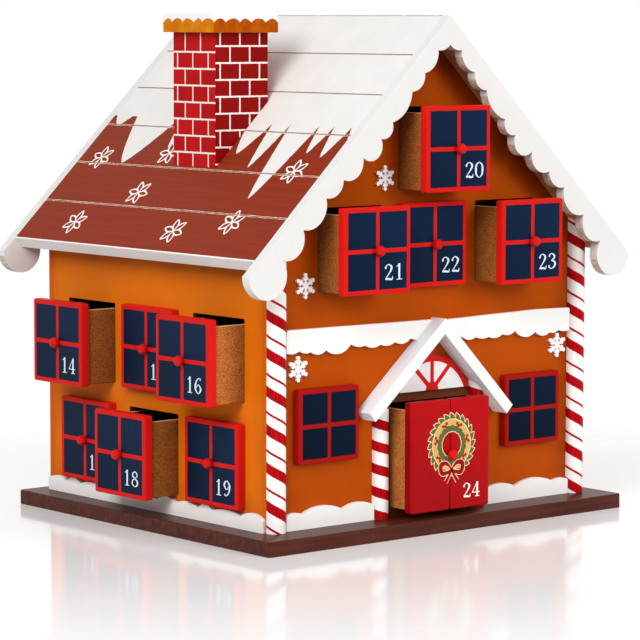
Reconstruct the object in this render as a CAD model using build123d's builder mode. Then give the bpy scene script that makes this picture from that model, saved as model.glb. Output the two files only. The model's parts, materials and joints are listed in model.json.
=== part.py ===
from build123d import *
import os
from math import cos, radians, sin, sqrt, tan

# A gingerbread-house advent calendar of painted boards, with a drawer behind every numbered window.
# Millimetres. Origin under the middle of the base, +X to the right of the front, +Y to the back, +Z up.

# Base plate
base_thickness = 10.3
base_corner_radius = 2.5
base_edge_radius = 1.0
base_side_margin = 21.0
base_back_margin = 10.0

# House shell
house_setback = 28.0
wall_thickness = 6.0
inner_board = 6.0
side_end_margin = 24.5
back_bay_gap = 8.5

# Roof
roof_pitch = 44.05
roof_thickness = 10.0
attic_headroom = 16.1
eave_overhang = 22.7
roof_front_overhang = 13.5
roof_back_overhang = 10.5
plank_count = 6
groove_width = 0.9
groove_depth = 0.7

# Bargeboards: icing drips between notches, from the ridge down, and a round lobe at the tail
bargeboard_thickness = 7.5
drip_lengths = [10.5, 19.5, 17.0, 27.0, 15.0, 20.0, 22.5, 19.0, 28.5, 26.0]
drip_bulges = [1.6, 4.0, 4.0, 4.5, 4.6, 8.6, 6.8, 4.6, 8.0, 8.2]
notch_depths = [14.4, 9.5, 12.0, 13.0, 15.5, 16.2, 13.6, 12.3, 10.2, 11.0, 13.0]
tail_overhang = 13.6
tail_radius = 16.0
tail_centre_depth = 11.2

# Chimney on the left slope
chimney_width = 46.7
chimney_depth = 48.3
chimney_from_ridge = 86.3
chimney_shift = -2.5
chimney_below_ridge = 12.2
chimney_cap_thickness = 13.6
chimney_cap_overhang = 5.6
chimney_cap_corner_radius = 2.0
chimney_cap_edge_radius = 1.2

# Window drawers
opening = 57.0
opening_corner_radius = 1.2
front_lap = 1.0
front_thickness = 6.5
front_corner_radius = 1.5
front_edge_radius = 0.8
knob_radius = 3.7
knob_standoff = 2.6
tray_depth = 62.0
tray_wall = 3.0
side_clearance = 0.8
running_gap = 0.3
headroom = 3.7
closed_gap = 0.2
tray_end_gap = 2.0

# Gaps between the drawer fronts
side_column_gap = 14.5
row_gap = 13.0
attic_column_gap = 13.0
attic_rise = 15.2
gable_rise = 7.8
back_column_gap = 15.0

# Door drawer and its porch
door_opening_width = 71.5
door_opening_height = 73.2
door_sill = 6.5
door_lap_height = 2.0
door_seam_width = 1.0
door_seam_depth = 0.8
column_radius = 6.6
column_gap = 1.55
porch_pitch = 43.4
porch_half_span = 67.2
porch_shift = 1.2
porch_board_thickness = 8.0
porch_depth = 14.5
porch_rise = 1.5
porch_lean = 2.0
lintel_height = 6.5
fanlight_gap = 1.4

# Corner posts, false windows and cut-out trim on the front
post_radius = 7.4
left_post_inset = 6.5
right_post_inset = 1.2
window_post_gap = 2.0
false_window_width = 53.5
false_window_height = 51.0
false_window_thickness = 6.0
left_window_gap = 2.2
left_window_z = 80.4
right_window_gap = 0.6
right_window_z = 76.2
trim_thickness = 3.0
trim_gap = 0.3
band_drop = 23.2
band_corner = 1.5
left_band_shares = [0.78, 0.69, 0.94, 1.54, 0.9, 0.97, 0.93, 1.0, 0.9, 0.66]
left_band_notches = [15.1, 14.1, 15.4, 15.0, 12.3, 14.2, 14.5, 13.6, 12.0, 12.2, 12.2]
left_band_drips = [1.2, 1.3, 2.4, 4.7, 1.5, 1.9, 1.7, 2.5, 1.3, 1.3]
left_band_top = [(0.0, 0.4), (1.0, -0.2)]
right_band_shares = [0.83, 0.63, 1.06, 1.46, 0.9, 1.01, 0.91, 1.0, 0.95, 0.94]
right_band_notches = [16.0, 15.3, 16.5, 15.2, 13.1, 14.8, 15.9, 15.2, 13.8, 14.0, 14.0]
right_band_drips = [0.9, 1.2, 2.7, 4.2, 1.8, 1.7, 1.2, 2.2, 1.5, 1.5]
right_band_top = [(0.0, 0.2), (0.25, 0.9), (1.0, -1.4)]
flake_arms = 6
flake_radius = 8.8
flake_thickness = 2.0
flake_stem = 1.8
flake_bud = 1.4
flake_bud_place = 0.66
flake_bud_spread = 2.1
gable_flake_gap = 12.5
gable_flake_drop = 19.9
attic_flake_gap = 11.0
attic_flake_drop = 23.4
storey_flake_gap = 11.0
storey_flake_drop = 26.4

# Snow lying at the foot of the walls
drift_notch = 8.9
drift_bulge = 3.5
drift_low_bulge = 2.4
drift_shares = [3.0, 2.0, 4.0, 3.0, 5.0, 2.5, 3.5, 2.0, 4.0, 3.0]
drift_end_gap = 2.0
drift_sill_gap = 0.3
front_drift_notch = 10.5
front_drift_bulges = [1.6, 4.2, 3.4]
front_drift_shares = [2.0, 5.0, 4.0]

# How far the drawers that stand ajar are pulled out
pulled = {14: 23.5, 16: 24.5, 18: 23.0, 20: 23.5, 21: 22.0, 23: 22.5, 24: 17.0}

# Levels and columns of the drawers
front_size = opening + 2 * front_lap
drift_height = drift_notch + drift_bulge
lower_row = base_thickness + drift_height + drift_sill_gap + front_size / 2
upper_row = lower_row + front_size + row_gap
attic_row = upper_row + front_size + attic_rise
gable_row = attic_row + front_size + gable_rise
attic_floor_top = attic_row - opening / 2
attic_floor_bottom = attic_floor_top - inner_board
gable_shelf_top = gable_row - opening / 2
gable_shelf_bottom = gable_shelf_top - inner_board
side_pitch = front_size + side_column_gap
attic_pitch = front_size + attic_column_gap
back_pitch = front_size + back_column_gap

# Porch and false windows
band_top = attic_row - front_size / 2 - band_drop
lean = radians(porch_lean)
porch_angle = radians(porch_pitch)
porch_height = porch_half_span * tan(porch_angle)
porch_foot = band_top + porch_rise - porch_height
porch_inner = porch_height - porch_board_thickness / cos(porch_angle)
porch_length = porch_half_span / cos(porch_angle)
left_window_end = porch_shift - porch_half_span - left_window_gap - false_window_width
right_window_end = porch_shift + porch_half_span + right_window_gap + false_window_width
left_window_x = left_window_end + false_window_width / 2
right_window_x = right_window_end - false_window_width / 2

# Shell: wide enough for the back drawers between the side bays and for the windows between the posts
bay_depth = tray_depth + tray_end_gap
back_half = (back_pitch + opening) / 2 + back_bay_gap + inner_board + bay_depth
left_half = left_post_inset + post_radius + window_post_gap - left_window_end
right_half = right_post_inset + post_radius + window_post_gap + right_window_end
half_width = max(back_half, left_half, right_half)
house_depth = 2 * side_pitch + opening + 2 * side_end_margin
base_width = 2 * (half_width + base_side_margin)
base_depth = house_setback + house_depth + base_back_margin
front_y = house_setback - base_depth / 2
back_y = front_y + house_depth
mid_y = (front_y + back_y) / 2
inner_half_width = half_width - wall_thickness
inner_front_y = front_y + wall_thickness
inner_back_y = back_y - wall_thickness
bay_wall_outer = half_width - bay_depth
bay_wall_inner = bay_wall_outer - inner_board
front_shelf_back = front_y + bay_depth
back_shelf_front = back_y - bay_depth

# Roof, which clears the upper corners of the attic row
pitch = radians(roof_pitch)
attic_reach = attic_pitch + front_size / 2
underside_ridge = attic_row + front_size / 2 + attic_headroom + attic_reach * tan(pitch)
ridge_height = underside_ridge + roof_thickness / cos(pitch)
slope_length = (half_width + eave_overhang) / cos(pitch)
roof_front_y = front_y - roof_front_overhang
roof_back_y = back_y + roof_back_overhang
chimney_y = mid_y + chimney_shift
chimney_top = ridge_height - chimney_below_ridge

# Door, posts and trim
door_bottom = base_thickness + door_sill
door_top = door_bottom + door_opening_height
door_middle = (door_bottom + door_top) / 2
door_front_width = door_opening_width + 2 * front_lap
door_front_height = door_opening_height + 2 * door_lap_height
column_x = door_front_width / 2 + column_gap + column_radius
left_post_x = -half_width + left_post_inset
right_post_x = half_width - right_post_inset
band_ends = (left_post_x + post_radius + trim_gap, right_post_x - post_radius - trim_gap)
fanlight_base = door_top + lintel_height
fanlight_radius = porch_inner * cos(porch_angle) - fanlight_gap

# The outer faces of the walls: each looks outwards, with its own x to the right and its y upwards
front_face = Plane(origin=(0, front_y, 0), x_dir=(1, 0, 0), z_dir=(0, -1, 0))
back_face = Plane(origin=(0, back_y, 0), x_dir=(-1, 0, 0), z_dir=(0, 1, 0))
left_face = Plane(origin=(-half_width, mid_y, 0), x_dir=(0, -1, 0), z_dir=(-1, 0, 0))
right_face = Plane(origin=(half_width, mid_y, 0), x_dir=(0, 1, 0), z_dir=(1, 0, 0))
front_gable_edge = front_face.offset(roof_front_overhang)
back_gable_edge = back_face.offset(roof_back_overhang)
porch_face = Plane(
    origin=(porch_shift, front_y, porch_foot),
    x_dir=(cos(lean), 0, -sin(lean)),
    z_dir=(0, -1, 0),
)


def grid(first, across, up):
    """Drawer numbers from first on, row by row, each with the middle of its opening on the wall."""
    spots = [(x, z) for z in up for x in across]
    return {first + i: spot for i, spot in enumerate(spots)}


side_columns = [-side_pitch, 0, side_pitch]
attic_columns = [-attic_pitch, 0, attic_pitch]
back_columns = [-back_pitch / 2, back_pitch / 2]
storey_rows = [upper_row, lower_row]
left_spots = grid(14, side_columns, storey_rows)
right_spots = grid(8, side_columns, storey_rows)
front_spots = {20: (0, gable_row)} | grid(21, attic_columns, [attic_row])
back_spots = grid(1, attic_columns, [attic_row]) | grid(4, back_columns, storey_rows)

os.makedirs("parts", exist_ok=True)


def save(piece, name):
    """Label one finished piece, or a group of separate solids, and write it to its own file."""
    piece.label = name
    export_step(piece, f"parts/{name}.step")


def group(pieces):
    """Several separate solids of one node."""
    return Compound(children=list(pieces))


def on_slope(apex, angle, side, along, below):
    """Point of a gable's plane: along the slope from the apex and square below its top line."""
    out = along * cos(angle) - below * sin(angle)
    down = along * sin(angle) + below * cos(angle)
    return (side * out, apex - down)


def roof_point(side, along, below):
    """Point of the roof's section, on the left slope for side -1 and the right one for side 1."""
    return on_slope(ridge_height, pitch, side, along, below)


def roof_plane(side, height):
    """Plane along one slope, at a height over the middle of the house, facing up."""
    return Plane(origin=(0, 0, height), z_dir=(side * sin(pitch), 0, cos(pitch)))


def porch_plane(side, height):
    """Plane along one slope of the porch, at a height over its foot, facing up."""
    origin = porch_face.from_local_coords((0, height, 0))
    facing = porch_face.x_dir * (side * sin(porch_angle)) + porch_face.y_dir * cos(porch_angle)
    return Plane(origin=origin, z_dir=facing)


def drips(place, stations, levels, bulges):
    """Row of arcs between notches at the stations and levels, each bulging past its chord."""
    for i, bulge in enumerate(bulges):
        middle = (stations[i] + stations[i + 1]) / 2
        level = (levels[i] + levels[i + 1]) / 2 + bulge
        start = place(stations[i], levels[i])
        ThreePointArc(start, place(middle, level), place(stations[i + 1], levels[i + 1]))


def stations_between(start, end, shares):
    """Notch places from start to end, with a length for each share."""
    unit = (end - start) / sum(shares)
    return [start + sum(shares[:i]) * unit for i in range(len(shares) + 1)]


def board(low, high):
    """Plain inner board between two corners."""
    size = [b - a for a, b in zip(low, high)]
    with BuildPart() as piece:
        with Locations(low):
            Box(*size, align=(Align.MIN, Align.MIN, Align.MIN))
    return piece.part


# Base plate
with BuildPart() as base_plate:
    with BuildSketch():
        RectangleRounded(base_width, base_depth, base_corner_radius)
    extrude(amount=base_thickness)
    fillet(base_plate.faces().sort_by(Axis.Z)[-1].edges(), radius=base_edge_radius)
save(base_plate.part, "base_plate")


def gable_wall(face, spots, doorway):
    """Wall under the ends of both slopes, with its drawer openings and, in front, the doorway."""
    eave = underside_ridge - half_width * tan(pitch)
    foot = base_thickness
    corners = [(-half_width, foot), (half_width, foot), (half_width, eave), (0, underside_ridge)]
    with BuildPart() as wall:
        with BuildSketch(face):
            Polygon(*corners, (-half_width, eave), align=None)
            with Locations(*spots.values()):
                RectangleRounded(opening, opening, opening_corner_radius, mode=Mode.SUBTRACT)
            if doorway:
                with Locations((0, door_middle)):
                    Rectangle(door_opening_width, door_opening_height, mode=Mode.SUBTRACT)
        extrude(amount=-wall_thickness)
    return wall.part


save(gable_wall(front_face, front_spots, True), "front_wall")
save(gable_wall(back_face, back_spots, False), "back_wall")


def side_wall(face, side, spots):
    """Wall under an eave, between the gable walls, with its top cut along the roof's underside."""
    length = inner_back_y - inner_front_y
    with BuildPart() as wall:
        with BuildSketch(face):
            with Locations((0, base_thickness)):
                Rectangle(length, underside_ridge, align=(Align.CENTER, Align.MIN))
            with Locations(*spots.values()):
                RectangleRounded(opening, opening, opening_corner_radius, mode=Mode.SUBTRACT)
        extrude(amount=-wall_thickness)
        split(bisect_by=roof_plane(side, underside_ridge), keep=Keep.BOTTOM)
    return wall.part


save(side_wall(left_face, -1, left_spots), "left_wall")
save(side_wall(right_face, 1, right_spots), "right_wall")


def bay_boards(low_x, high_x, low_y, high_y, dividers, across_y):
    """Shelves under both storey rows and the upright dividers between the drawers of each row."""
    pieces = []
    ceilings = [attic_floor_bottom, upper_row - opening / 2 - inner_board]
    for row, ceiling in zip(storey_rows, ceilings):
        top = row - opening / 2
        pieces.append(board((low_x, low_y, top - inner_board), (high_x, high_y, top)))
        for middle in dividers:
            near = middle - inner_board / 2
            far = middle + inner_board / 2
            low = (low_x, near, top) if across_y else (near, low_y, top)
            high = (high_x, far, ceiling) if across_y else (far, high_y, ceiling)
            pieces.append(board(low, high))
    return group(pieces)


# Side bays: a wall behind the drawers of each side, with their shelves and dividers
side_dividers = [mid_y - side_pitch / 2, mid_y + side_pitch / 2]
for name, side in (("left", -1), ("right", 1)):
    low_x, high_x = sorted((side * bay_wall_inner, side * bay_wall_outer))
    low = (low_x, inner_front_y, base_thickness)
    save(board(low, (high_x, inner_back_y, attic_floor_bottom)), f"{name}_bay_wall")
    low_x, high_x = sorted((side * bay_wall_outer, side * inner_half_width))
    boards = bay_boards(low_x, high_x, inner_front_y, inner_back_y, side_dividers, True)
    save(boards, f"{name}_bay_shelves")

# Back bay, between the bay walls
boards = bay_boards(-bay_wall_inner, bay_wall_inner, back_shelf_front, inner_back_y, [0], False)
save(boards, "back_bay_shelves")

# Floor under the door drawer and floor of the attic
low = (-bay_wall_inner, inner_front_y, base_thickness)
save(board(low, (bay_wall_inner, front_shelf_back, door_bottom)), "door_floor")
low = (-inner_half_width, inner_front_y, attic_floor_bottom)
save(board(low, (inner_half_width, inner_back_y, attic_floor_top)), "attic_floor")

# Attic dividers, which carry the shelf of the gable drawer in front
divider_x = attic_pitch / 2
half_board = inner_board / 2
shelf_half = divider_x + half_board
low = (-shelf_half, inner_front_y, gable_shelf_bottom)
gable_rack = [board(low, (shelf_half, front_shelf_back, gable_shelf_top))]
back_dividers = []
for x in (-divider_x, divider_x):
    low = (x - half_board, inner_front_y, attic_floor_top)
    gable_rack.append(board(low, (x + half_board, front_shelf_back, gable_shelf_bottom)))
    low = (x - half_board, back_shelf_front, attic_floor_top)
    back_dividers.append(board(low, (x + half_board, inner_back_y, gable_shelf_bottom)))
save(group(gable_rack), "gable_rack")
save(group(back_dividers), "back_attic_dividers")


def roof_panel(side):
    """One slope of planks, mitred at the ridge, square at the eave and grooved along its length."""
    plank = slope_length / plank_count
    with BuildPart() as panel:
        with BuildSketch(front_gable_edge):
            eave = [roof_point(side, slope_length, below) for below in (0, roof_thickness)]
            Polygon((0, ridge_height), *eave, (0, underside_ridge), align=None)
            for i in range(1, plank_count):
                along = (i * plank - groove_width / 2, i * plank + groove_width / 2)
                lips = [roof_point(side, s, -groove_depth) for s in along]
                bed = [roof_point(side, s, groove_depth) for s in reversed(along)]
                Polygon(*lips, *bed, align=None, mode=Mode.SUBTRACT)
        extrude(amount=roof_front_y - roof_back_y)
    return panel.part


save(roof_panel(-1), "left_roof_panel")
save(roof_panel(1), "right_roof_panel")


def bargeboard(plane, side):
    """Board on a gable's roof edge: straight on top, dripping below, with a round lobe at its tail."""
    tail = slope_length + tail_overhang
    centre = tail - sqrt(tail_radius**2 - tail_centre_depth**2)
    lobe_start = centre - sqrt(tail_radius**2 - (notch_depths[-1] - tail_centre_depth) ** 2)
    stations = stations_between(notch_depths[0] * tan(pitch), lobe_start, drip_lengths)

    def place(along, below):
        return roof_point(side, along, below)

    with BuildPart() as piece:
        with BuildSketch(plane):
            with BuildLine():
                Polyline(place(stations[0], notch_depths[0]), place(0, 0), place(tail, 0))
                lowest = place(centre, tail_centre_depth + tail_radius)
                ThreePointArc(place(tail, 0), lowest, place(lobe_start, notch_depths[-1]))
                drips(place, stations, notch_depths, drip_bulges)
            make_face()
        extrude(amount=bargeboard_thickness)
    return piece.part


save(bargeboard(front_gable_edge, -1), "front_left_bargeboard")
save(bargeboard(front_gable_edge, 1), "front_right_bargeboard")
save(bargeboard(back_gable_edge, 1), "back_left_bargeboard")
save(bargeboard(back_gable_edge, -1), "back_right_bargeboard")

# Chimney stack, cut to the slope, and its cap
with BuildPart() as chimney_stack:
    with BuildSketch(Plane.XY.offset(chimney_top)):
        with Locations((-chimney_from_ridge, chimney_y)):
            Rectangle(chimney_width, chimney_depth)
    extrude(amount=-chimney_top)
    split(bisect_by=roof_plane(-1, ridge_height), keep=Keep.TOP)
save(chimney_stack.part, "chimney_stack")

with BuildPart() as chimney_cap:
    with BuildSketch(Plane.XY.offset(chimney_top)):
        with Locations((-chimney_from_ridge, chimney_y)):
            cap_size = [size + 2 * chimney_cap_overhang for size in (chimney_width, chimney_depth)]
            RectangleRounded(*cap_size, chimney_cap_corner_radius)
    extrude(amount=chimney_cap_thickness)
    fillet(chimney_cap.faces().sort_by(Axis.Z)[-1].edges(), radius=chimney_cap_edge_radius)
save(chimney_cap.part, "chimney_cap")


def half_round(x, radius, cut):
    """Half-round rod with its flat side on the front wall, up to the plane that cuts its top."""
    with BuildPart() as rod:
        with BuildSketch(Plane(origin=(x, front_y, base_thickness))):
            with BuildLine():
                Line((-radius, 0), (radius, 0))
                ThreePointArc((radius, 0), (0, -radius), (-radius, 0))
            make_face()
        extrude(amount=underside_ridge)
        split(bisect_by=cut, keep=Keep.BOTTOM)
    return rod.part


save(half_round(left_post_x, post_radius, roof_plane(-1, underside_ridge)), "left_corner_post")
save(half_round(right_post_x, post_radius, roof_plane(1, underside_ridge)), "right_corner_post")


def porch_board(side):
    """One slope of the porch, mitred at its apex and square at its foot."""
    with BuildPart() as piece:
        with BuildSketch(porch_face):
            foot = [
                on_slope(porch_height, porch_angle, side, porch_length, below)
                for below in (0, porch_board_thickness)
            ]
            Polygon((0, porch_height), *foot, (0, porch_inner), align=None)
        extrude(amount=porch_depth)
    return piece.part


# Porch, which leans a little to one side, on its two columns
for name, side in (("left", -1), ("right", 1)):
    save(porch_board(side), f"{name}_porch_board")
    column = half_round(side * column_x, column_radius, porch_plane(side, porch_inner))
    save(column, f"{name}_porch_column")

# Fanlight over the door, a flat piece cut from a circle about the foot of the porch
with BuildPart() as fanlight:
    with BuildSketch(front_face):
        with BuildLine():
            half_chord = sqrt(fanlight_radius**2 - (fanlight_base - porch_foot) ** 2)
            left_end = (porch_shift - half_chord, fanlight_base)
            right_end = (porch_shift + half_chord, fanlight_base)
            Line(left_end, right_end)
            ThreePointArc(left_end, (porch_shift, porch_foot + fanlight_radius), right_end)
        make_face()
    extrude(amount=trim_thickness)
save(fanlight.part, "fanlight")


def false_window(x, z):
    """Solid block in the shape of a window, glued to the front wall."""
    with BuildPart() as piece:
        with BuildSketch(front_face):
            with Locations((x, z)):
                RectangleRounded(false_window_width, false_window_height, front_corner_radius)
        extrude(amount=false_window_thickness)
        fillet(piece.faces().sort_by(Axis.Y)[0].edges(), radius=front_edge_radius)
    return piece.part


left_window = false_window(left_window_x, left_window_z)
right_window = false_window(right_window_x, right_window_z)
save(group([left_window, right_window]), "false_windows")


porch_top_x = porch_face.from_local_coords((0, porch_height, 0)).X


def snow_band(side, start, shares, notches, bulges, top):
    """Cut-out snow over the ground storey, from a corner post to the porch, with uneven drips below."""

    def place(along, below):
        return (along, band_top - below)

    stations = stations_between(start, porch_top_x, shares)
    upper = [place(start + share * (porch_top_x - start), -rise) for share, rise in top]
    with BuildPart() as piece:
        with BuildSketch(front_face) as outline:
            with BuildLine():
                Polyline(place(start, notches[0]), *upper, place(porch_top_x, notches[-1]))
                drips(place, stations, notches, bulges)
            make_face()
            fillet(outline.vertices().sort_by_distance(Vector(*upper[0]))[0], radius=band_corner)
        extrude(amount=trim_thickness)
        split(bisect_by=porch_plane(side, porch_height), keep=Keep.TOP)
    return piece.part


left_band = snow_band(
    -1, band_ends[0], left_band_shares, left_band_notches, left_band_drips, left_band_top
)
right_band = snow_band(
    1, band_ends[1], right_band_shares, right_band_notches, right_band_drips, right_band_top
)
save(group([left_band, right_band]), "storey_snow_band")


def drift(face, start, end, notch, shares, bulges):
    """Strip of snow on the base plate against one wall, with a billowing top edge."""

    def place(along, up):
        return (along, base_thickness + up)

    stations = stations_between(start, end, shares)
    with BuildPart() as piece:
        with BuildSketch(face):
            with BuildLine():
                Polyline(place(start, notch), place(start, 0), place(end, 0), place(end, notch))
                drips(place, stations, [notch] * len(stations), bulges)
            make_face()
        extrude(amount=trim_thickness)
    return piece.part


drift_bulges = [drift_bulge if i % 2 else drift_low_bulge for i in range(len(drift_shares))]
side_reach = house_depth / 2 - drift_end_gap
back_reach = half_width - drift_end_gap
for name, face, reach in (
    ("left", left_face, side_reach),
    ("right", right_face, side_reach),
    ("back", back_face, back_reach),
):
    snow = drift(face, -reach, reach, drift_notch, drift_shares, drift_bulges)
    save(snow, f"{name}_snow_drift")

column_edge = column_x + column_radius + trim_gap
front_drifts = [
    drift(front_face, *ends, front_drift_notch, front_drift_shares, front_drift_bulges)
    for ends in ((band_ends[0], -column_edge), (band_ends[1], column_edge))
]
save(group(front_drifts), "front_snow_drifts")


def snowflake(x, z):
    """Flat six-armed flake with a round tip and a cross bar on each arm."""
    reach = flake_radius - flake_bud
    with BuildPart() as piece:
        with BuildSketch(front_face):
            with Locations((x, z)):
                Circle(flake_stem)
                with PolarLocations(reach / 2, flake_arms, start_angle=90):
                    Rectangle(reach, flake_stem)
                with PolarLocations(reach, flake_arms, start_angle=90):
                    Circle(flake_bud)
                with PolarLocations(reach * flake_bud_place, flake_arms, start_angle=90):
                    Rectangle(flake_stem, 2 * flake_bud_spread)
        extrude(amount=flake_thickness)
    return piece.part


gable_flake_x = front_size / 2 + gable_flake_gap
attic_flake_x = attic_pitch + front_size / 2 + attic_flake_gap
flake_spots = [
    (-gable_flake_x, gable_row - gable_flake_drop),
    (gable_flake_x, gable_row - gable_flake_drop),
    (-attic_flake_x, attic_row - attic_flake_drop),
    (attic_flake_x, attic_row - attic_flake_drop),
    (band_ends[0] + storey_flake_gap, band_top - storey_flake_drop),
    (band_ends[1] - storey_flake_gap, band_top - storey_flake_drop),
]
save(group(snowflake(*spot) for spot in flake_spots), "snowflakes")


def tray(seat, width, height):
    """Open box behind a drawer front, standing low in its opening of that width and height."""
    outer_width = width - 2 * side_clearance
    outer_height = height - running_gap - headroom
    middle = (running_gap - headroom) / 2
    with BuildPart() as box:
        with BuildSketch(seat):
            with Locations((0, middle)):
                Rectangle(outer_width, outer_height)
        extrude(amount=-tray_depth)
        with BuildSketch(seat.offset(-tray_wall)):
            with Locations((0, middle + tray_wall / 2)):
                Rectangle(outer_width - 2 * tray_wall, outer_height - tray_wall)
        extrude(amount=-(tray_depth - 2 * tray_wall), mode=Mode.SUBTRACT)
    return box.part


def drawer_front(seat, width, height, seam):
    """Panel on the front of a drawer, with soft edges and, on the door, the seam of its two leaves."""
    with BuildPart() as panel:
        with BuildSketch(seat):
            RectangleRounded(width, height, front_corner_radius)
        extrude(amount=front_thickness)
        outwards = Axis(seat.origin, seat.z_dir)
        fillet(panel.faces().sort_by(outwards)[-1].edges(), radius=front_edge_radius)
        if seam:
            with BuildSketch(seat.offset(front_thickness)):
                Rectangle(door_seam_width, height)
            extrude(amount=-door_seam_depth, mode=Mode.SUBTRACT)
    return panel.part


def knob(seat):
    """Ball knob with a flat foot, glued to the middle of a drawer front."""
    with BuildPart() as ball:
        with Locations(seat.offset(front_thickness + knob_standoff)):
            Sphere(knob_radius)
        split(bisect_by=seat.offset(front_thickness), keep=Keep.TOP)
    return ball.part


def drawer(number, face, spot, width, height, front_width, front_height, seam):
    """One drawer: its tray, front and knob, pulled out as far as it stands ajar."""
    origin = face.from_local_coords((*spot, closed_gap + pulled.get(number, 0)))
    seat = Plane(origin=origin, x_dir=face.x_dir, z_dir=face.z_dir)
    front = drawer_front(seat, front_width, front_height, seam)
    return group([tray(seat, width, height), front, knob(seat)])


for face, spots in (
    (left_face, left_spots),
    (right_face, right_spots),
    (front_face, front_spots),
    (back_face, back_spots),
):
    for number, spot in spots.items():
        piece = drawer(number, face, spot, opening, opening, front_size, front_size, False)
        save(piece, f"drawer_{number:02d}")

door_size = (door_opening_width, door_opening_height, door_front_width, door_front_height)
save(drawer(24, front_face, (0, door_middle), *door_size, True), "drawer_24")
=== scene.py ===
import json
import math

import bpy
import numpy as np
from mathutils import Matrix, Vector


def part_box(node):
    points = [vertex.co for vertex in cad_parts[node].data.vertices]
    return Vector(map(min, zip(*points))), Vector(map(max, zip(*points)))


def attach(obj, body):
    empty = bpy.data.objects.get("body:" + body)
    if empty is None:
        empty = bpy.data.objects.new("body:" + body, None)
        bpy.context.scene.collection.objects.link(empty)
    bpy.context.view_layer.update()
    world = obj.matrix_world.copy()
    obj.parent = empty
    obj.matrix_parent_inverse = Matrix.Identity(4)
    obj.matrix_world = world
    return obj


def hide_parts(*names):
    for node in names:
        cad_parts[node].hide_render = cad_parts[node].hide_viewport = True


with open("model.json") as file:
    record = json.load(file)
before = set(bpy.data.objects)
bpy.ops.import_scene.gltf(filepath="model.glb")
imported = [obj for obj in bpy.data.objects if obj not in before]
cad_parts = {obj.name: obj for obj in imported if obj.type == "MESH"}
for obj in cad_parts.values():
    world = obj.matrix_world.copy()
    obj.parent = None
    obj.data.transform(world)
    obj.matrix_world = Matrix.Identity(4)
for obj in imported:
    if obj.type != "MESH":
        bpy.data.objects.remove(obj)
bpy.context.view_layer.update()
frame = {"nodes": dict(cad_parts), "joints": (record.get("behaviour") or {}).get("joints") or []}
nodes = frame["nodes"]
MM = 0.001

# %% [markdown]
# # A painted gingerbread house with drawers
#
# The calendar is a little house of thin fibreboard, sprayed, stencilled and screen-printed in a workshop.
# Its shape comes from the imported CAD. This lesson gives every board its paint and builds the drawers anew,
# because their printed panes, balls and numerals need surfaces of their own.
#
# Every paint is a formula of the place on the board. A shader formula is a long chain of small sums, so the
# first step is a short way to write them: a wire is one value in the chain, and adding or comparing two
# wires adds the node that does it.


# %% Wires: shader formulas written as sums
def operator(operation, swapped=False):
    """A method of Wire that adds one Math node, with the wire first or, swapped, last."""

    def method(self, *others):
        values = (*others, self) if swapped else (self, *others)
        return math_node(self.tree, operation, *values)

    return method


class Wire:
    """One value in a shader tree. Sums, products and comparisons of wires add the Math nodes for them."""

    def __init__(self, tree, socket):
        self.tree = tree
        self.socket = socket

    __add__, __sub__ = operator("ADD"), operator("SUBTRACT")
    __mul__, __truediv__ = operator("MULTIPLY"), operator("DIVIDE")
    __rsub__, __rtruediv__ = operator("SUBTRACT", swapped=True), operator("DIVIDE", swapped=True)
    __lt__, __gt__ = operator("LESS_THAN"), operator("GREATER_THAN")
    abs, fract, floor = operator("ABSOLUTE"), operator("FRACT"), operator("FLOOR")
    power, least, most = operator("POWER"), operator("MINIMUM"), operator("MAXIMUM")

    def ramp(self, low, high):
        """Smooth step from 0 at low to 1 at high."""
        node = self.tree.nodes.new("ShaderNodeMapRange")
        node.interpolation_type = "SMOOTHSTEP"
        feed(self.tree, self, node.inputs["Value"])
        feed(self.tree, low, node.inputs["From Min"])
        feed(self.tree, high, node.inputs["From Max"])
        return Wire(self.tree, node.outputs["Result"])


def feed(tree, value, socket):
    """Link a wire to a socket, or set the socket to a constant."""
    if isinstance(value, Wire):
        tree.links.new(value.socket, socket)
    else:
        socket.default_value = value


def math_node(tree, operation, *values):
    """One Math node on wires or numbers."""
    node = tree.nodes.new("ShaderNodeMath")
    node.operation = operation
    for value, socket in zip(values, node.inputs):
        feed(tree, value, socket)
    return Wire(tree, node.outputs[0])


def mix(tree, share, first, second):
    """Colour that goes from first to second with the share."""
    node = tree.nodes.new("ShaderNodeMix")
    node.data_type = "RGBA"
    feed(tree, share, node.inputs[0])
    feed(tree, first, node.inputs[6])
    feed(tree, second, node.inputs[7])
    return Wire(tree, node.outputs[2])


def noise(tree, place, size, detail=2.0):
    """Soft noise from 0 to 1 with lumps of about the given size in millimetres."""
    node = tree.nodes.new("ShaderNodeTexNoise")
    feed(tree, place, node.inputs["Vector"])
    node.inputs["Scale"].default_value = 1 / size
    node.inputs["Detail"].default_value = detail
    return Wire(tree, node.outputs[0])


def wobble(tree, place, size, swing):
    """Soft noise about zero, with the swing from its lowest to its highest value."""
    return (noise(tree, place, size) - 0.5) * swing


def split(tree, vector):
    """The three parts of a vector as wires."""
    node = tree.nodes.new("ShaderNodeSeparateXYZ")
    feed(tree, vector, node.inputs[0])
    return [Wire(tree, out) for out in node.outputs]


def join(tree, *parts):
    """A vector from three wires or numbers."""
    node = tree.nodes.new("ShaderNodeCombineXYZ")
    for part, socket in zip(parts, node.inputs):
        feed(tree, part, socket)
    return Wire(tree, node.outputs[0])


def scaled(tree, vector, factor):
    """A vector or colour times a number."""
    node = tree.nodes.new("ShaderNodeVectorMath")
    node.operation = "SCALE"
    feed(tree, vector, node.inputs[0])
    feed(tree, factor, node.inputs["Scale"])
    return Wire(tree, node.outputs[0])


def here(tree):
    """The place on the board in millimetres, in the part's own frame."""
    node = tree.nodes.new("ShaderNodeTexCoord")
    return scaled(tree, Wire(tree, node.outputs["Object"]), 1 / MM)


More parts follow.
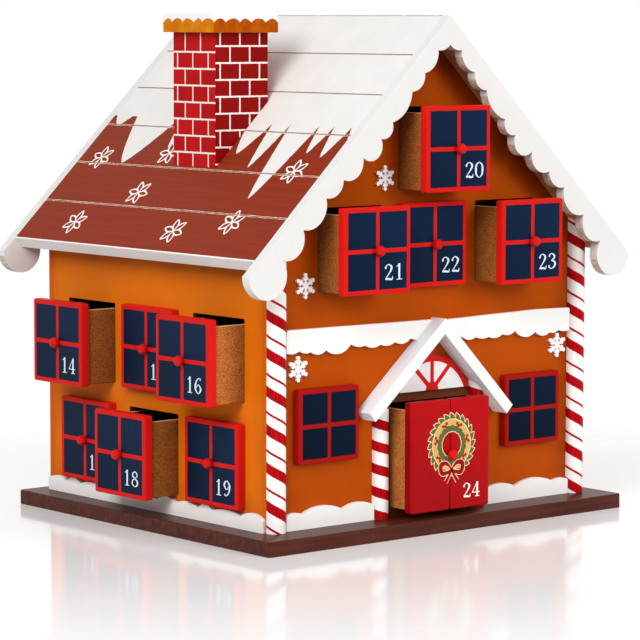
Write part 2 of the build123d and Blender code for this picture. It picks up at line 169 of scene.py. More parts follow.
def own_place(tree):
    """A drawer's own across, up and out, in millimetres."""
    node = tree.nodes.new("ShaderNodeAttribute")
    node.attribute_name = "panel"
    return split(tree, Wire(tree, node.outputs["Vector"]))


def facing(tree):
    """The way a face looks, as three wires from -1 to 1."""
    node = tree.nodes.new("ShaderNodeNewGeometry")
    return split(tree, Wire(tree, node.outputs["True Normal"]))


def facing_down(tree):
    """1 on faces that look down and 0 on all others."""
    return facing(tree)[2] < -0.25


def facing_up(tree):
    """1 on faces that look up and 0 on all others."""
    return facing(tree)[2] > 0.6


def facing_front(tree):
    """1 on faces that look to the front and 0 on all others."""
    return facing(tree)[1] < -0.5


def rgb(red, green, blue):
    """Colour as a shader wants it, from the usual 0 to 255 values."""
    parts = np.array([red, green, blue]) / 255
    linear = np.where(parts <= 0.04045, parts / 12.92, ((parts + 0.055) / 1.055) ** 2.4)
    return (*map(float, linear), 1.0)


SOCKETS = {"Colour": "NodeSocketColor", "Place": "NodeSocketVector"}


def node_group(name, inputs, outputs, build):
    """A shared effect: build gets the named inputs as wires and returns the named outputs in order."""
    tree = bpy.data.node_groups.new(name, "ShaderNodeTree")
    for way, titles in (("INPUT", inputs), ("OUTPUT", outputs)):
        for title in titles:
            kind = SOCKETS.get(title, "NodeSocketFloat")
            tree.interface.new_socket(title, in_out=way, socket_type=kind)
    entry = tree.nodes.new("NodeGroupInput")
    leave = tree.nodes.new("NodeGroupOutput")
    results = build(tree, *(Wire(tree, entry.outputs[title]) for title in inputs))
    for result, title in zip(results, outputs):
        feed(tree, result, leave.inputs[title])
    return tree


def use_group(tree, group, *values):
    """Place a shared effect in a tree and return its outputs as wires."""
    node = tree.nodes.new("ShaderNodeGroup")
    node.node_tree = group
    for value, socket in zip(values, node.inputs):
        feed(tree, value, socket)
    return [Wire(tree, out) for out in node.outputs]


print("wires ready")

# %% [markdown]
# ## Sprayed paint
#
# The boards are sprayed with a satin lacquer. It lies a little thicker here and there, so its tone drifts by
# a few percent, and the fibres of the board show through as a very fine skin. All the paints share this, so
# it is one effect that takes a flat colour and gives back the lacquered one, its gloss and its skin.


# %% The shared lacquer, and a material made with it
CLOUD_SIZE, SKIN_SIZE = 22.0, 0.9
SATIN, SHEEN, COAT_ROUGHNESS = 0.42, 0.05, 0.2
WELD, SHARP_ANGLE = 0.01, math.radians(40)


def build_lacquer(tree, colour, place, drift):
    """A colour that drifts in clouds, its roughness, and the height of its skin."""
    cloud = noise(tree, place, CLOUD_SIZE, 3.0)
    skin = noise(tree, place, SKIN_SIZE, 3.0)
    tone = (cloud - 0.5) * drift + (skin - 0.5) * (drift * 0.6) + 1.0
    gloss = (skin - 0.5) * 0.16 + (cloud - 0.5) * 0.1 + SATIN
    return scaled(tree, colour, tone), gloss, skin * 0.6 + cloud * 0.4


LACQUER = node_group("Lacquer", ["Colour", "Place", "Drift"], ["Colour", "Gloss", "Skin"], build_lacquer)


def material(name, paint, drift=0.12, skin=0.1, coat=0.0):
    """A lacquered material. paint gets the tree and the place, and returns a colour and an extra height."""
    made = bpy.data.materials.new(name)
    made.use_nodes = True
    tree = made.node_tree
    shader = tree.nodes["Principled BSDF"]
    place = here(tree)
    colour, relief = paint(tree, place)
    tone, gloss, fine = use_group(tree, LACQUER, colour, place, drift)
    feed(tree, tone, shader.inputs["Base Color"])
    feed(tree, gloss, shader.inputs["Roughness"])
    shader.inputs["Specular IOR Level"].default_value = SHEEN
    shader.inputs["Coat Weight"].default_value = coat
    shader.inputs["Coat Roughness"].default_value = COAT_ROUGHNESS
    bump = tree.nodes.new("ShaderNodeBump")
    bump.inputs["Strength"].default_value = 1.0
    bump.inputs["Distance"].default_value = MM
    feed(tree, fine * skin + relief, bump.inputs["Height"])
    tree.links.new(bump.outputs["Normal"], shader.inputs["Normal"])
    return made


def dress(names, look, edge=0.4):
    """Give CAD boards a material and, where an edge is given, soften their edges by so many millimetres."""
    for name in names:
        board = nodes[name]
        board.data.materials.clear()
        board.data.materials.append(look)
        if not edge:
            continue
        weld = board.modifiers.new("weld", "WELD")
        weld.merge_threshold = WELD * MM
        bevel = board.modifiers.new("edge", "BEVEL")
        bevel.width = edge * MM
        bevel.segments = 2
        bevel.limit_method = "ANGLE"
        bevel.angle_limit = SHARP_ANGLE
        even = board.modifiers.new("even", "WEIGHTED_NORMAL")
        even.keep_sharp = True
    print(look.name, "on", ", ".join(names))


WHITE = rgb(238, 236, 233)
COOL = rgb(233, 240, 242)
SOFT = rgb(229, 227, 224)
RAW = rgb(176, 128, 82)
# Raw board darkened as painted shade, for cut edges and faces inside the house.
RAW_IN_SHADE = rgb(84, 50, 28)
RED = rgb(204, 27, 20)

# %% [markdown]
# ## Walls
#
# The gingerbread colour is an orange lacquer with a browner spray along the edges, as if the house had been
# baked. The distance to the nearest edge decides how much of the brown there is; under the eaves, under the
# roof and at the foot the brown is also painted shade. The gables are a darker orange than the side walls:
# painted shade on the gables and painted light on the sides. The cut edges inside the openings and the inner
# faces are raw board darkened as painted shade, as dark as the boards behind them, and the doorway has a
# brown painted frame.

# %% Paint the walls
low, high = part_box("front_wall")
FRONT_Y, HALF_WIDTH, FLOOR, UNDER = low.y / MM, high.x / MM, low.z / MM, high.z / MM
BACK_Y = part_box("back_wall")[1].y / MM
PITCH = math.radians(44.05)
SEAM_SIZE, SEAM_SWING, SEAM_START, SEAM_END = 30.0, 16.0, -4.0, 30.0
FRAME_HALF, FRAME_TOP = 38.1, 96.6
PAINT_DEPTH, END_GRAIN = 0.5, 0.2


def baked(tree, place, distance, crumb, crust_and_shade):
    """Orange in the middle and brown at the edges, over a soft, uneven seam: sprayed brown, and also painted
    shade where the edge lies under the eaves, under the roof and at the foot.
    """
    uneven = wobble(tree, place, SEAM_SIZE, SEAM_SWING)
    return mix(tree, (distance + uneven).ramp(SEAM_START, SEAM_END), crust_and_shade, crumb)


def gable_paint(front):
    """Paint of a gable wall in a darker orange than the sides, as painted shade: brown under the roof and at
    the foot, sprayed and painted shade, and in front also round the doorway.
    """
    below_floor = 10.0

    def paint(tree, place):
        x, y, z = split(tree, place)
        slope = (UNDER - z - x.abs() * math.tan(PITCH)) * math.cos(PITCH)
        distance = slope.least(HALF_WIDTH - x.abs()).least(z - (FLOOR - below_floor))
        # Darker orange than the side walls, as painted shade; the brown edge is spray and painted shade.
        colour = baked(tree, place, distance, rgb(174, 71, 4), rgb(128, 44, 3))
        if front:
            frame_share = (x.abs() < FRAME_HALF) * (z < FRAME_TOP)
            colour = mix(tree, frame_share, colour, rgb(104, 52, 30))
        depth = y - FRONT_Y if front else BACK_Y - y
        inner = x.abs() < (HALF_WIDTH - END_GRAIN)
        # End grain at the corners takes the lighter side orange, painted light as on the side walls.
        colour = mix(tree, inner, rgb(196, 92, 10), colour)
        # Faces deeper than the paint are raw board darkened as painted shade inside the house.
        return mix(tree, (depth > PAINT_DEPTH) * inner, colour, RAW_IN_SHADE), 0.0

    return paint


def side_paint(tree, place):
    """Paint of a side wall in a lighter orange than the gables, as painted light: brown under the eaves,
    sprayed and painted shade, and less so at the ends and the foot.
    """
    past_ends, below_floor = 12.0, 2.0
    x, y, z = split(tree, place)
    roof = UNDER - HALF_WIDTH * math.tan(PITCH) - z
    ends = (BACK_Y - FRONT_Y) / 2 - (y - (BACK_Y + FRONT_Y) / 2).abs()
    distance = (ends + past_ends).least(roof).least(z - (FLOOR - below_floor))
    # Lighter orange than the gables, as painted light; the brown edge is spray and painted shade.
    colour = baked(tree, place, distance, rgb(214, 108, 12), rgb(168, 70, 10))
    # Faces deeper than the paint are raw board darkened as painted shade inside the house.
    return mix(tree, (HALF_WIDTH - x.abs()) > PAINT_DEPTH, colour, RAW_IN_SHADE), 0.0


dress(["front_wall"], material("front gable paint", gable_paint(True)), edge=0)
dress(["back_wall"], material("back gable paint", gable_paint(False)), edge=0)
dress(["left_wall", "right_wall"], material("side wall paint", side_paint), edge=0)

# %% [markdown]
# ## Base plate and bare boards
#
# The base is a chocolate brown board with a slight sheen and a few pale rubs where it has been handled.
# The boards inside and the drawer trays are bare fibreboard: pressed crumbs of wood, so the colour is a
# salt-and-pepper of tan and dark grains. Cells of a Voronoi pattern with a tone each do just that. The trays
# are darker deeper in, as painted shade, and pale on their rims. Most trays are a step darker as painted
# shade, two a step lighter as painted light, and the boards inside are painted dark as the shade inside the
# house.

# %% Paint the base and leave the inner boards bare
CRUMB, RUB, STREAK_LENGTH, STREAK_WIDTH = 0.42, 7.0, 60.0, 4.0


def base_paint(tree, place):
    """Brown in long streaks, with paler rubs."""
    x, y, z = split(tree, place)
    rub = (noise(tree, place, RUB, 5.0) - 0.62).ramp(0.0, 0.2) * 0.35
    along, across, up = x / STREAK_LENGTH, y / STREAK_WIDTH, z / STREAK_WIDTH
    streak = noise(tree, join(tree, along, across, up), 1.0, 4.0)
    brown = mix(tree, streak.ramp(0.3, 0.75), rgb(60, 23, 13), rgb(82, 37, 24))
    return mix(tree, rub, brown, rgb(116, 68, 52)), 0.0


def build_crumbs(tree, place, size):
    """Tan and dark grains of the given size, and how far each stands out."""
    node = tree.nodes.new("ShaderNodeTexVoronoi")
    feed(tree, place, node.inputs["Vector"])
    feed(tree, 1.0 / size, node.inputs["Scale"])
    grains = split(tree, Wire(tree, node.outputs["Color"]))
    cloud = noise(tree, place, 9.0, 3.0)
    tone = grains[0] * 0.7 + cloud * 0.3
    colour = mix(tree, tone.ramp(0.1, 0.9), rgb(136, 70, 28), rgb(188, 120, 58))
    colour = mix(tree, grains[1] > 0.94, colour, rgb(98, 54, 26))
    return colour, grains[2] * 0.05


CRUMBS = node_group("Pressed crumbs", ["Place", "Size"], ["Colour", "Height"], build_crumbs)


def bare_paint(tone):
    """Fibreboard of a tray scaled by a tone, painted light above one and painted shade below; darker deeper in
    as painted shade, and pale on its rim.
    """
    shaded, bright = -30.0, -2.0

    def paint(tree, place):
        colour, height = use_group(tree, CRUMBS, place, CRUMB)
        out = own_place(tree)[2]
        # Darker towards the wall as painted shade, and scaled by the tray's tone of painted light and shade.
        colour = scaled(tree, colour, (out.ramp(shaded, bright) * 0.4 + 0.65) * tone)
        return mix(tree, facing_up(tree) * 0.6, colour, rgb(232, 196, 146)), height

    return paint


def dim_paint(tree, place):
    """Fibreboard darkened to a fifth of its colour: painted shade inside the house."""
    colour, height = use_group(tree, CRUMBS, place, CRUMB)
    # A fifth of the colour: painted shade inside the house.
    return scaled(tree, colour, 0.22), height


# Shaded and lit copies of the tray board: painted shade on most trays, painted light on two.
SHADED_TRAY = material("bare fibreboard", bare_paint(0.77), drift=0.15, skin=0.15)
LIT_TRAY = material("tray fibreboard in painted light", bare_paint(1.2), drift=0.15, skin=0.15)
SHADED_BOARD = material("fibreboard in painted shade", dim_paint, drift=0.15, skin=0.15)
dress(["base_plate"], material("base paint", base_paint, coat=0.2), edge=0.6)
inner = ["left_bay_wall", "right_bay_wall", "left_bay_shelves", "right_bay_shelves", "back_bay_shelves"]
inner += ["door_floor", "attic_floor", "gable_rack", "back_attic_dividers"]
dress(inner, SHADED_BOARD)

# %% [markdown]
# ## Roof
#
# Each slope is white snow over chocolate planks. The snow ends in icicles that were masked by hand: every
# icicle hangs between two notches and rounds off at its tip, so its edge is a power of the distance from its
# middle, and the snow line is the longest icicle at each place. The grooves between the planks are scratched
# over with a dry white brush, and star flowers are stencilled in outline below the snow. Places on a slope are
# millimetres from the front to the back of the house and down from the ridge.

# %% Snow, icicles, planks and star flowers
low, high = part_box("right_roof_panel")
ROOF_FRONT, ROOF_BACK = low.y / MM, high.y / MM
SLOPE, ROOF_THICK, PLANKS = 231.9, 10.0, 6
PLANK = SLOPE / PLANKS
SNOW, FRONT_ROOT, BACK_ROOT, POINTED = 98.0, 108.0, 101.0, 1.35
BRUSH, GROOVE, EAVE = 0.74, 0.62, 1.2
NOTCHES = [168, 146, 120, 64, 42, 14, -14, -41, -61, -92, -108, -126, -146]
TIPS = [122, 117, 153, 136, 126, 132, 138, 150, 178, 134, 137, 128]
FLOWERS = [
    (121, 149, 0.3), (46, 180, 0.1), (91, 212, 0.5), (-25, 212, 0.2), (-79, 200, 0.4), (46, 141, 0.0),
    (-102, 151, 0.3),
]


def build_flower(tree, across, down, turn):
    """Six pointed petals in outline: each is a lens along one of six rays."""
    reach, swell, line = 11.2, 2.3, 0.68
    radius = math_node(tree, "SQRT", across * across + down * down)
    angle = math_node(tree, "ARCTAN2", down, across) + turn
    sixth = math.pi / 3
    folded = ((angle / sixth + 0.5).fract() - 0.5).abs() * sixth
    along = radius * math_node(tree, "COSINE", folded)
    side = radius * math_node(tree, "SINE", folded)
    lens = math_node(tree, "SINE", (along / reach).least(1.0) * math.pi) * swell
    outline = ((side - lens).abs() < line) * (along < reach)
    return [outline.most(radius < 0.9)]


FLOWER = node_group("Star flower", ["Across", "Down", "Turn"], ["Mask"], build_flower)


def roof_paint(tree, place):
    """Snow with icicles over planks with flowers; the right slope repeats the left one, turned round."""
    x, y, z = split(tree, place)
    down = x.abs() / math.cos(PITCH)
    right = x > 0.0
    along = y + right * ((ROOF_FRONT + ROOF_BACK) - y * 2.0)
    shaky = wobble(tree, place, 3.0, 1.2)
    edge = wobble(tree, place, 26.0, 3.0) + SNOW
    for high, low, tip in zip(NOTCHES, NOTCHES[1:], TIPS):
        root = FRONT_ROOT if high < 0 else BACK_ROOT
        flank = ((along + shaky - (high + low) / 2).abs() / ((high - low) / 2)).least(1.05)
        edge = edge.most(tip - flank.power(POINTED) * (tip - root))
    snow = (edge - down).ramp(-0.3, 0.3)
    streak = noise(tree, join(tree, down / 2.5, y / 70.0, 0.0), 1.0, 4.0)
    brown = mix(tree, streak.ramp(0.25, 0.8), rgb(130, 44, 21), rgb(141, 50, 26))
    stars = None
    for middle, level, turn in FLOWERS:
        mask = use_group(tree, FLOWER, along - middle, down - level, turn)[0]
        stars = mask if stars is None else stars.most(mask)
    brown = mix(tree, stars * (noise(tree, place, 1.2, 4.0) > 0.3), brown, rgb(248, 243, 238))
    rough = noise(tree, join(tree, x, y / 3.0, z), 1.1, 4.0)
    groove = ((down / PLANK + 0.5).fract() - 0.5).abs() * PLANK
    brush = groove < ((rough - 0.5) * 0.8 + BRUSH)
    brown = mix(tree, brush, brown, rgb(242, 234, 224))
    sugar = noise(tree, place, 0.7, 2.0).ramp(0.58, 0.75)
    white = mix(tree, sugar * 0.25, SOFT, rgb(196, 184, 168))
    white = mix(tree, (groove < GROOVE) * (rough > 0.36), white, rgb(118, 108, 100))
    colour = mix(tree, snow, brown, white)
    eave = down > (SLOPE - EAVE)
    under = facing_down(tree) * (down < (SLOPE - ROOF_THICK * math.tan(PITCH) - 1.0))
    return mix(tree, under, mix(tree, eave.most(facing_down(tree)), colour, WHITE), RAW), snow * 0.15


dress(["left_roof_panel", "right_roof_panel"], material("roof paint", roof_paint), edge=0.3)

# %% [markdown]
# ## Icing
#
# The bargeboards, the porch, the snow band, the drifts and the flakes are sawn from thin board and painted
# white on their faces. The bargeboards get a greyer white, as painted shade, and the flakes the brightest
# white, as painted light. The saw-cut undersides were left bare or only dusted with paint, so faces that look
# down are a greyish beige. Only the round tail at the front left is white all round.

# %% Paint the white trim
TAIL_X, DUST = -150.0, 2.0


def icing_paint(white):
    """White on all faces but the dusted undersides."""

    def paint(tree, place):
        x, y, _ = split(tree, place)
        dust = noise(tree, place, DUST, 4.0)
        under = mix(tree, dust.ramp(0.35, 0.7), rgb(188, 166, 146), rgb(222, 210, 198))
        bare = facing_down(tree) * (x > TAIL_X).most(y > 0.0)
        return mix(tree, bare, white, under), 0.0

    return paint


# A greyer white on the bargeboards, as painted shade, and the brightest white on the flakes, as painted light.
RIM_SHADED = material("bargeboard paint, painted shade", icing_paint(rgb(223, 221, 218)), drift=0.05)
FLAKE_LIT = material("flake paint, painted light", icing_paint(rgb(254, 253, 252)), drift=0.05)
ICING = material("icing paint", icing_paint(WHITE), drift=0.05)
rims = ["front_left_bargeboard", "front_right_bargeboard", "back_left_bargeboard", "back_right_bargeboard"]
dress(rims, RIM_SHADED, edge=0.6)
PORCH = material("porch paint", lambda tree, place: (COOL, 0.0), drift=0.05)
dress(["left_porch_board", "right_porch_board"], PORCH, edge=0.5)
snow = ["storey_snow_band", "front_snow_drifts", "left_snow_drift", "right_snow_drift", "back_snow_drift"]
dress(snow, ICING, edge=0.8)
dress(["snowflakes"], FLAKE_LIT, edge=0.3)

# %% [markdown]
# ## Candy canes
#
# The corner posts and porch columns are half-round mouldings wrapped with red stripes. Unrolled, a stripe is
# a straight slanting line, so the paint measures the arc around the rod and adds a share of it to the
# height. The columns have one wide stripe per turn, the posts a wide and a thin one.


# %% Stripe the rods
def candy_paint(middle, radius, period, start, slant, stripes):
    """Stripes that wind round a half-round rod; a stripe is a span of each period."""

    def paint(tree, place):
        x, y, z = split(tree, place)
        arc = math_node(tree, "ARCTAN2", x - middle, FRONT_Y - y) * radius
        shaky = wobble(tree, place, 1.6, 0.5)
        turn = ((z + arc * slant + shaky + start) / period).fract()
        red = None
        for low, high in stripes:
            band = (turn > low) * (turn < high)
            red = band if red is None else red.most(band)
        dragged = noise(tree, join(tree, x / 0.9, y / 0.9, z / 7.0), 1.0, 3.0)
        cherry = mix(tree, dragged.ramp(0.3, 0.7), rgb(142, 5, 13), rgb(188, 13, 21))
        return mix(tree, red, WHITE, cherry), red * 0.05

    return paint


wide = [(0.0, 0.44)]
wide_and_thin = [(0.0, 0.29), (0.56, 0.63)]
for name, period, start, slant, stripes in (
    ("left_porch_column", 15.9, 7.6, 0.3, wide),
    ("right_porch_column", 15.9, 9.0, 0.3, wide),
    ("left_corner_post", 25.7, 6.0, 0.55, wide_and_thin),
    ("right_corner_post", 25.6, 16.8, 0.55, wide_and_thin),
):
    low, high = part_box(name)
    middle, radius = (low.x + high.x) / 2 / MM, (high.x - low.x) / 2 / MM
    paint = candy_paint(middle, radius, period, start, slant, stripes)
    dress([name], material(f"{name} stripes", paint, drift=0.06), edge=0.3)

# %% [markdown]
# ## Chimney
#
# The stack is a block printed with red bricks and white joints in running bond. The pattern uses the distance
# walked around the block, and the front was printed by itself, so its joints don't meet those of the side. The
# bricks on the front are at half the red, as painted shade. Its cap is caramel orange, darker at the front as
# painted shade and lighter on the side as painted light, and the snow on it ends in notches between round
# mounds.

# %% Lay the bricks and snow on the cap
low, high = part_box("chimney_stack")
CHIMNEY_TOP, STACK_CORNER = 344.2, (low.x - high.y) / MM
ROW, BRICK, MORTAR = 11.7, 17.5, 0.62
FIRST_JOINT, FIRST_END, UNDER_CAP = 13.6, 13.7, 0.06
FRONT_LIFT, FRONT_SHIFT = 4.2, 3.6
MOUND_FOOT, MOUND_RISE, MOUND_TURN, MOUND_POWER = 6.8, 2.9, 3.7, 0.7


def brick_paint(tree, place):
    """Rows of bricks, every other one moved by half a brick, each brick in a tone of its own, at half the red
    on the front as painted shade.
    """
    x, y, z = split(tree, place)
    front = facing_front(tree)
    shaky = wobble(tree, place, 2.2, 0.5)
    level = (CHIMNEY_TOP - FIRST_JOINT - z + shaky + front * FRONT_LIFT) / ROW + 1.0
    level = level.most(UNDER_CAP)
    row = level.floor()
    shift = (row / 2.0).fract()
    walk = (x - y - (STACK_CORNER + FIRST_END) + shaky - front * FRONT_SHIFT) / BRICK + shift
    bed = (level.fract() * ROW).least((1.0 - level.fract()) * ROW)
    end = ((walk.fract() - 0.5).abs() * -1.0 + 0.5) * BRICK
    brick = join(tree, walk.floor(), row, 0.0)
    white_noise = tree.nodes.new("ShaderNodeTexWhiteNoise")
    feed(tree, brick, white_noise.inputs["Vector"])
    tone = Wire(tree, white_noise.outputs["Value"])
    red = mix(tree, tone, rgb(168, 13, 16), rgb(188, 19, 20))
    # Half the red on the front face: painted shade.
    red = mix(tree, front, red, scaled(tree, red, 0.52))
    mortar = bed.least(end) < MORTAR
    return mix(tree, mortar, red, rgb(238, 228, 221)), mortar * -0.08


def cap_paint(tree, place):
    """Caramel up to a row of round mounds, and snow above; lighter on the side as painted light and darker on
    the front as painted shade.
    """
    x, y, z = split(tree, place)
    uneven = wobble(tree, place, 14.0, 9.0)
    mound = math_node(tree, "SINE", (x - y + uneven) / MOUND_TURN).abs().power(MOUND_POWER) * MOUND_RISE
    snow = (z - (CHIMNEY_TOP + MOUND_FOOT) - mound).ramp(-0.25, 0.25)
    baking = noise(tree, place, 8.0).ramp(0.3, 0.7)
    # Lighter caramel on the side and darker on the front: painted light and painted shade.
    lit_caramel = mix(tree, baking, rgb(196, 108, 4), rgb(214, 128, 10))
    brown = mix(tree, baking, rgb(156, 64, 0), rgb(180, 86, 2))
    caramel_lit_and_shaded = mix(tree, facing_front(tree), lit_caramel, brown)
    return mix(tree, snow, caramel_lit_and_shaded, WHITE), snow * 0.3


dress(["chimney_stack"], material("brick paint", brick_paint, drift=0.1), edge=0.4)
dress(["chimney_cap"], material("cap paint", cap_paint, drift=0.08), edge=0.3)

# %% [markdown]
# ## Windows and the fanlight
#
# A window is a red board with four navy panes printed on it. One rule draws them all: red within a border's
# width of the edge and within half a bar of the two middle lines, navy elsewhere, lighter towards one corner
# as a painted reflection. The fanlight is white with a red rim and red bars that fan out from the middle of
# its sill.


# %% The window rule, the false windows and the fanlight
def build_panes(tree, across, up, half_width, half_height):
    """Red frame and bars round four navy panes, which lie a little deeper; the navy lightens corner to corner
    as a painted reflection.
    """
    border, bar = 3.3, 1.45
    frame_share = (across.abs() > (half_width - border)).most(up.abs() > (half_height - border))
    bars = (across.abs() < bar).most(up.abs() < bar)
    glass = 1.0 - frame_share.most(bars)
    # Navy lighter towards one corner: a painted reflection on the panes.
    painted_sheen = ((across + up) / (half_width * 2.0)).ramp(-1.0, 1.0)
    navy = mix(tree, painted_sheen, rgb(5, 23, 46), rgb(10, 32, 60))
    return mix(tree, glass, RED, navy), glass * -0.06


PANE_INPUTS = ["Across", "Up", "Half width", "Half height"]
PANES = node_group("Window panes", PANE_INPUTS, ["Colour", "Height"], build_panes)
WINDOW_HALF, WINDOW_ROLL, WINDOW_SHADE = (26.75, 25.5), 0.7, 0.55
FAN_BAR, FAN_RIM, FAN_HUB = 1.7, 4.2, 6.0
low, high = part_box("false_windows")
LEFT_WINDOW = (low.x / MM + WINDOW_HALF[0], high.z / MM - WINDOW_HALF[1])
RIGHT_WINDOW = (high.x / MM - WINDOW_HALF[0], low.z / MM + WINDOW_HALF[1])
WINDOW_FACE = low.y / MM


def false_window_paint(tree, place):
    """The window rule about the middle of the left or the right window, darker than on the drawers."""
    x, y, z = split(tree, place)
    right = x > 0.0
    across = x - (right * (RIGHT_WINDOW[0] - LEFT_WINDOW[0]) + LEFT_WINDOW[0])
    up = z - (right * (RIGHT_WINDOW[1] - LEFT_WINDOW[1]) + LEFT_WINDOW[1])
    shaky = wobble(tree, place, 5.0, 0.5)
    colour, height = use_group(tree, PANES, across + shaky, up + shaky, *WINDOW_HALF)
    side = y > (WINDOW_FACE + WINDOW_ROLL)
    return scaled(tree, mix(tree, side, colour, RED), WINDOW_SHADE), height


low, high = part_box("fanlight")
FAN_X, FAN_SILL, FAN_CROWN = (low.x + high.x) / 2 / MM, low.z / MM, high.z / MM
FAN_CHORD, FAN_RISE = (high.x - low.x) / 2 / MM, (high.z - low.z) / MM
FAN_RADIUS = (FAN_CHORD**2 + FAN_RISE**2) / (2 * FAN_RISE)


def fanlight_paint(tree, place):
    """White with a red rim, an upright and two slanting bars, and a hub on the sill."""
    x, _, z = split(tree, place)
    x = x - FAN_X
    up = z - (FAN_CROWN - FAN_RADIUS)
    radius = math_node(tree, "SQRT", x * x + up * up)
    rise = z - FAN_SILL
    hub = math_node(tree, "SQRT", x * x + rise * rise)
    slant = math.sqrt(0.5)
    bars = (x.abs() < FAN_BAR).most(((x.abs() - rise) * slant).abs() < FAN_BAR)
    red = (radius > (FAN_RADIUS - FAN_RIM)).most(bars).most(hub < FAN_HUB)
    return mix(tree, red, WHITE, rgb(206, 30, 30)), red * 0.05


dress(["false_windows"], material("false window paint", false_window_paint, drift=0.08), edge=0.2)
dress(["fanlight"], material("fanlight paint", fanlight_paint, drift=0.06), edge=0.3)

# %% [markdown]
# ## Drawers
#
# A drawer is a tray of bare board, a printed front and a turned ball for a knob. Each is a surface over two
# parameters: one runs around an outline, the other from ring to ring. The front's rings climb its side, roll
# over the soft edge and close over the face. The tray's rings climb the outside, cross the rim and go down
# inside. The ball's rings are circles of latitude.
#
# Every drawer is built in the frame of its own wall, across, up and out, and then set in place. The front
# keeps its own across and up as an attribute, which the pane print reads.

# %% Surfaces over a grid of two parameters
PIN_HOLE, CREASE = 0.1, math.radians(38)


def quads(rows, columns, closed):
    """Faces of a grid, numbered row by row, closed around its columns or not."""
    index = np.arange(rows * columns).reshape(rows, columns)
    if closed:
        index = np.hstack([index, index[:, :1]])
    corners = [index[:-1, :-1], index[:-1, 1:], index[1:, 1:], index[1:, :-1]]
    return np.stack(corners, -1).reshape(-1, 4)


def rounded_outline(half_width, half_height, radius, steps=5):
    """Rectangle with round corners: each corner's centre plus its radius times a quarter turn."""
    turn = np.linspace(0, np.pi / 2, steps)
    signs = np.array([[1, 1], [-1, 1], [-1, -1], [1, -1]])
    starts = np.arange(4) * np.pi / 2
    angle = (starts[:, None] + turn[None, :]).ravel()
    centre = np.repeat(signs * [half_width - radius, half_height - radius], steps, axis=0)
    return centre + radius * np.stack([np.cos(angle), np.sin(angle)], -1)


def rings(half_width, half_height, radius, steps):
    """Rings of a rounded rectangle: one per (inset, height), each the outline drawn in by its inset."""
    made = []
    for inset, height in steps:
        small = max(radius - inset, 0.02)
        outline = rounded_outline(half_width - inset, half_height - inset, small)
        made.append(np.column_stack([outline, np.full(len(outline), height)]))
    return np.stack(made)


def make_piece(name, surfaces, look, body, settle, flat=False):
    """One object from several grids (points, closed), set in place and riding on a body."""
    points = [grid.reshape(-1, 3) for grid, closed in surfaces]
    starts = np.cumsum([0] + [len(p) for p in points[:-1]])
    faces = [quads(*grid.shape[:2], closed) + s for (grid, closed), s in zip(surfaces, starts)]
    local = np.concatenate(points)
    mesh = bpy.data.meshes.new(name)
    mesh.from_pydata((settle(local) * MM).tolist(), [], np.concatenate(faces).tolist())
    own = mesh.attributes.new("panel", "FLOAT_VECTOR", "POINT")
    own.data.foreach_set("vector", local.astype(np.float32).ravel())
    mesh.polygons.foreach_set("use_smooth", np.full(len(mesh.polygons), not flat))
    mesh.set_sharp_from_angle(angle=CREASE)
    mesh.materials.append(look)
    piece = bpy.data.objects.new(name, mesh)
    bpy.context.scene.collection.objects.link(piece)
    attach(piece, body)
    return piece


def tray_surface(half_width, low, high, depth, wall):
    """Open box and its lining: rings around its outline in across and out, lifted over the rim and in."""
    middle = min(half_width, depth / 2) - PIN_HOLE
    soft, corner = 0.35, 0.5
    outside = [(middle, low), (soft, low), (0.0, low + soft), (0.0, high - soft), (soft, high)]
    outside += [(wall - soft, high), (wall, high - soft)]
    inside = [(wall, high - soft), (wall, low + wall), (middle, low + wall)]
    grids = [rings(half_width, depth / 2, corner, steps) for steps in (outside, inside)]
    return [np.stack([g[..., 0], g[..., 2], -g[..., 1] - depth / 2], -1) for g in grids]


def panel_surface(half_width, half_height, thick):
    """Board with soft front edges: rings from the middle of its back, up its side and over its face."""
    middle = min(half_width, half_height) - PIN_HOLE
    soft, back_soft, corner, print_edge = 0.8, 0.3, 1.5, 2.0
    roll = np.linspace(0, np.pi / 2, 4)
    edge = [(soft - soft * math.cos(a), thick - soft + soft * math.sin(a)) for a in roll]
    back = [(middle, 0.0), (back_soft, 0.0), (0.0, back_soft)]
    return rings(half_width, half_height, corner, back + edge + [(print_edge, thick), (middle, thick)])


def ball_surface(radius, stand, base):
    """Ball with a flat foot: circles of latitude from its front pole back to the board."""
    rows, columns = 20, 32
    pole, foot = 0.02, math.acos(-stand / radius)
    polar = np.linspace(pole, foot, rows)[:, None]
    around = np.linspace(0, 2 * np.pi, columns, endpoint=False)[None, :]
    ring = radius * np.sin(polar)
    height = np.broadcast_to(base + stand + radius * np.cos(polar), (rows, columns))
    return np.stack([ring * np.cos(around), ring * np.sin(around), height], -1)


print("surfaces ready")

# %% [markdown]
# ## Printed fronts, balls and the door
#
# The panes are printed a little unevenly, so the print's own lines waver by a quarter of a millimetre. The
# door is two red leaves with a seam between them. The balls are dipped in a glossier red. The numbers are
# white on the door and frosty on the windows, and the trays have a dark lining.

# %% Materials of the drawers
FRONT_HALF, FRONT_FACE, DOOR_FACE = 29.5, 5.9, 5.75
DOOR_TALL, DOOR_BROAD = 77.0, 150.0


def front_paint(tree, place):
    """The window rule on the face of a front, and plain red on its sides."""
    across, up, out = own_place(tree)
    shaky = wobble(tree, place, 6.0, 0.5)
    colour, height = use_group(tree, PANES, across + shaky, up + shaky, FRONT_HALF, FRONT_HALF)
    return mix(tree, out < FRONT_FACE, colour, RED), height * (out > FRONT_FACE)


